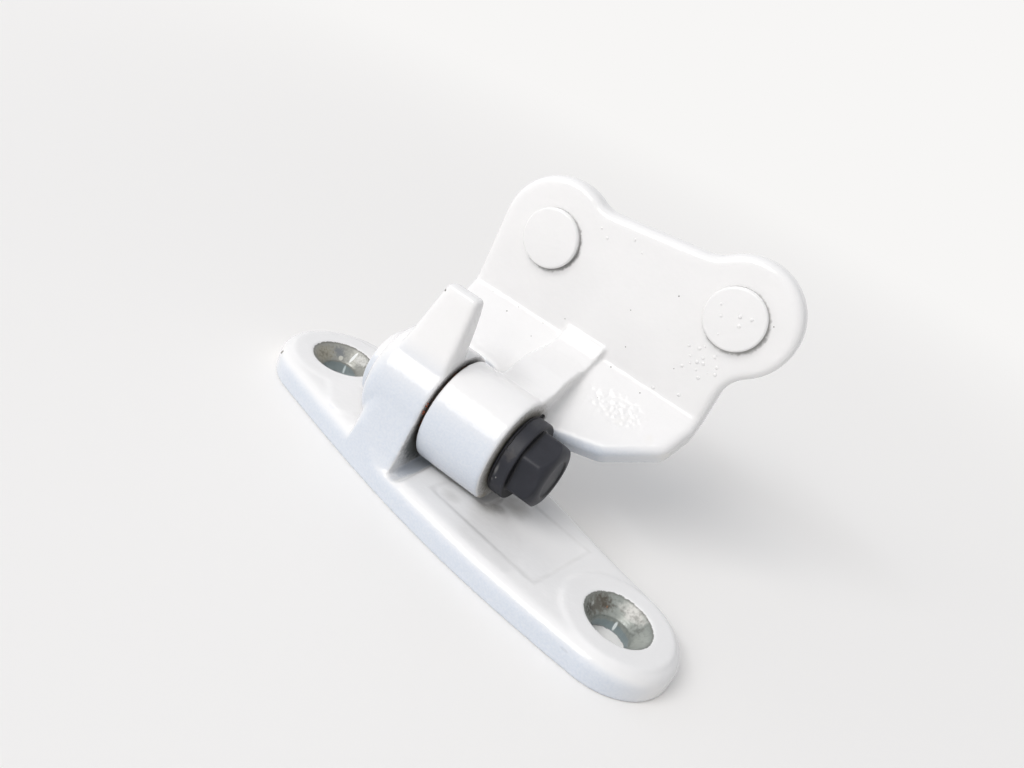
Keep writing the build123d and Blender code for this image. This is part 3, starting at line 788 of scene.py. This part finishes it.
# Washers, nut and bushes
bronze = {"colour": "9C7B4E", "worn": "7E6240", "roughness": 0.42}
plainMetals = {
    "thrust_washer": {
        "name": "spring steel washer with rust", "colour": "3E3A37", "worn": "6A4632", "roughness": 0.5,
    },
    "pin_washer": {"name": "plain steel washer", "colour": "9A9894", "worn": "7C7A76", "roughness": 0.4},
    "pin_nut": {"name": "plain steel nut", "colour": "8E8C88", "worn": "6F6D69", "roughness": 0.38},
    "inner_bush": {"name": "sintered bronze, inner bush", **bronze},
    "outer_bush": {"name": "sintered bronze, outer bush", **bronze},
}
metalLook = {"cloudWidth": 1.5 * mm, "wornNoise": (0.5, 0.7), "bumpHeight": 0.02 * mm, "metallic": 0.9}
for node, metal in plainMetals.items():
    material, tree, shader, place = newMaterial(metal["name"])
    cloud = addNode(tree, "ShaderNodeTexNoise", None, {
        "Vector": place, "Scale": 1 / metalLook["cloudWidth"], "Detail": 4.0}).outputs["Fac"]
    amount = addNode(tree, "ShaderNodeMapRange", eased, {
        "Value": cloud, "From Min": metalLook["wornNoise"][0], "From Max": metalLook["wornNoise"][1]})
    tint = addNode(tree, "ShaderNodeMix", inColour, {
        0: amount.outputs[0], 6: linear(metal["colour"]), 7: linear(metal["worn"])})
    bump = addNode(tree, "ShaderNodeBump", None, {"Distance": metalLook["bumpHeight"], "Height": cloud})
    tree.links.new(tint.outputs[2], shader.inputs["Base Color"])
    tree.links.new(bump.outputs[0], shader.inputs["Normal"])
    shader.inputs["Metallic"].default_value = metalLook["metallic"]
    shader.inputs["Roughness"].default_value = metal["roughness"]
    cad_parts[node].data.materials.clear()
    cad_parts[node].data.materials.append(material)
print("washers, nut and bushes made")

# Cap
cap = {
    "voxel": 0.2 * mm,
    "rounds": 3,
    "colour": "1B1D24",
    "worn": "303138",
    "cloudWidth": 3 * mm,
    "roughness": 0.45,
    "specular": 0.3,
    "ior": 1.5,
    # The notched parting groove near the flange's rim wanders by its noise; its darker colour is painted shade
    "groove": {"colour": "141416", "at": 8.4, "inner": 0.08, "outer": 0.22, "strength": 1.0},
    "notchWidth": 0.9 * mm,
    "notchDepth": 0.5 * mm,
    "grooveDepth": 0.12 * mm,
    "crease": {"colour": "0E0E10", "at": 11.62, "inner": 0.1, "outer": 0.4, "strength": 0.9},
    "dimple": {"colour": "121214", "at": 4.55, "inner": 0.1, "outer": 0.5, "strength": 0.8},
    "end": (17.2 * mm, 17.6 * mm),
    "grainWidth": 0.3 * mm,
    "grainHeight": 0.015 * mm,
    "grainStrength": 0.6,
    "marks": [
        {"at": (8.7, -9.3, 18.2), "size": (0.5, 0.6, 2.0), "colour": "8E8D8B", "ragged": 0.1,
         "grain": 1.5, "strength": 0.5, "softness": 0.9},
        {"at": (8.6, -9.1, 15.2), "size": (0.4, 0.6, 1.0), "colour": "868583", "ragged": 0.1,
         "grain": 1.5, "strength": 0.5, "softness": 0.9},
        {"at": (9.3, -9.0, 16.4), "size": (0.2, 0.5, 0.3), "colour": "B9B8B4", "ragged": 0.1,
         "strength": 0.7, "softness": 0.6},
        {"at": (9.6, -8.4, 22.4), "size": (1.6, 2.0, 1.6), "colour": "4E4A48", "ragged": 0.6,
         "grain": 0.8, "strength": 0.4, "softness": 0.8},
        {"at": (8.0, 6.0, 25.0), "size": (0.8, 4.0, 3.0), "colour": "6A665F", "ragged": 0.15,
         "grain": 2.0, "strength": 0.45, "softness": 1.0},
        {"at": (18.0, 1.0, 17.0), "size": (0.6, 3.4, 2.6), "colour": "5C5B59", "ragged": 0.15,
         "grain": 2.0, "strength": 0.4, "softness": 1.0},
    ],
}
capMaterial, tree, shader, place = newMaterial("moulded dark grey polyamide")
cloud = addNode(tree, "ShaderNodeTexNoise", None, {
    "Vector": place, "Scale": 1 / cap["cloudWidth"], "Detail": 5.0}).outputs["Fac"]
colour = addNode(tree, "ShaderNodeMix", inColour, {
    0: cloud, 6: linear(cap["colour"]), 7: linear(cap["worn"])}).outputs[2]
along = addNode(tree, "ShaderNodeSeparateXYZ", None, {0: place}).outputs[0]
notch = addNode(tree, "ShaderNodeTexNoise", None, {
    "Vector": place, "Scale": 1 / cap["notchWidth"], "Detail": 2.0}).outputs["Fac"]
wandering = addNode(tree, "ShaderNodeMath", {"operation": "MULTIPLY_ADD"}, {
    0: notch, 1: cap["notchDepth"], 2: along}).outputs[0]
groove = addBand(tree, wandering, cap["groove"])
# Painted shade: dark lines where the six-sided top leaves the flange, and round the dimple in its end
crease = addBand(tree, along, cap["crease"])
centred = addNode(tree, "ShaderNodeVectorMath", {"operation": "SUBTRACT"}, {
    0: place, 1: Vector((0, 0, pinHeight)) * mm}).outputs[0]
centred = addNode(tree, "ShaderNodeVectorMath", {"operation": "MULTIPLY"}, {
    0: centred, 1: (0, 1, 1)}).outputs[0]
outFromPin = addNode(tree, "ShaderNodeVectorMath", {"operation": "LENGTH"}, {0: centred}).outputs["Value"]
atEnd = addNode(tree, "ShaderNodeMapRange", None, {
    "Value": along, "From Min": cap["end"][0], "From Max": cap["end"][1]}).outputs[0]
dimple = addBand(tree, outFromPin, cap["dimple"])
dimple = addNode(tree, "ShaderNodeMath", {"operation": "MULTIPLY"}, {0: dimple, 1: atEnd}).outputs[0]
layers = [(addMark(tree, place, mark), mark) for mark in cap["marks"]]
# Over the scuffs go the painted shade of the groove, the crease and the dimple
for shows, layer in layers + [(groove, cap["groove"]), (crease, cap["crease"]), (dimple, cap["dimple"])]:
    colour = addNode(tree, "ShaderNodeMix", inColour, {
        0: shows, 6: colour, 7: linear(layer["colour"])}).outputs[2]
texture = addNode(tree, "ShaderNodeTexNoise", None, {
    "Vector": place, "Scale": 1 / cap["grainWidth"], "Detail": 3.0}).outputs["Fac"]
bump = addNode(tree, "ShaderNodeBump", None, {
    "Strength": cap["grainStrength"], "Distance": cap["grainHeight"], "Height": texture})
bump = addNode(tree, "ShaderNodeBump", {"invert": True}, {
    "Distance": cap["grooveDepth"], "Height": groove, "Normal": bump.outputs[0]})
tree.links.new(colour, shader.inputs["Base Color"])
tree.links.new(bump.outputs[0], shader.inputs["Normal"])
shader.inputs["Roughness"].default_value = cap["roughness"]
shader.inputs["IOR"].default_value = cap["ior"]
shader.inputs["Specular IOR Level"].default_value = cap["specular"]

# A sliver of flash stands off the flange towards the rib
flash = {
    "angle": 55, "ends": (7.65, 8.35), "rows": ((8.9, 1.2), (10.4, 0.5)), "bevel": 0.12 * mm,
}
turn = math.radians(flash["angle"])
outwards = Vector((0, math.cos(turn), math.sin(turn)))
sideways = Vector((0, -math.sin(turn), math.cos(turn)))
corners = [
    (Vector((end, 0, pinHeight)) + outwards * reach + sideways * half * sign) * mm
    for end in flash["ends"] for reach, half in flash["rows"] for sign in (-1, 1)
]
flashMesh = bpy.data.meshes.new("capFlash")
flashMesh.from_pydata(corners, [], [
    (0, 1, 3, 2), (4, 6, 7, 5), (0, 4, 5, 1), (2, 3, 7, 6), (0, 2, 6, 4), (1, 5, 7, 3)])
work = bmesh.new()
work.from_mesh(flashMesh)
bmesh.ops.recalc_face_normals(work, faces=work.faces[:])
bmesh.ops.bevel(work, geom=work.edges[:], offset=flash["bevel"], segments=2, affect="EDGES")
work.to_mesh(flashMesh)
work.free()
flashMesh.materials.append(capMaterial)
flashPiece = newObject("capFlash", flashMesh)
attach(flashPiece, "pillar")
capPiece = softened("end_cap", "cap", cap)
capPiece.data.materials.append(capMaterial)
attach(capPiece, "pillar")
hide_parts("end_cap")
print("cap made", len(capPiece.data.polygons))
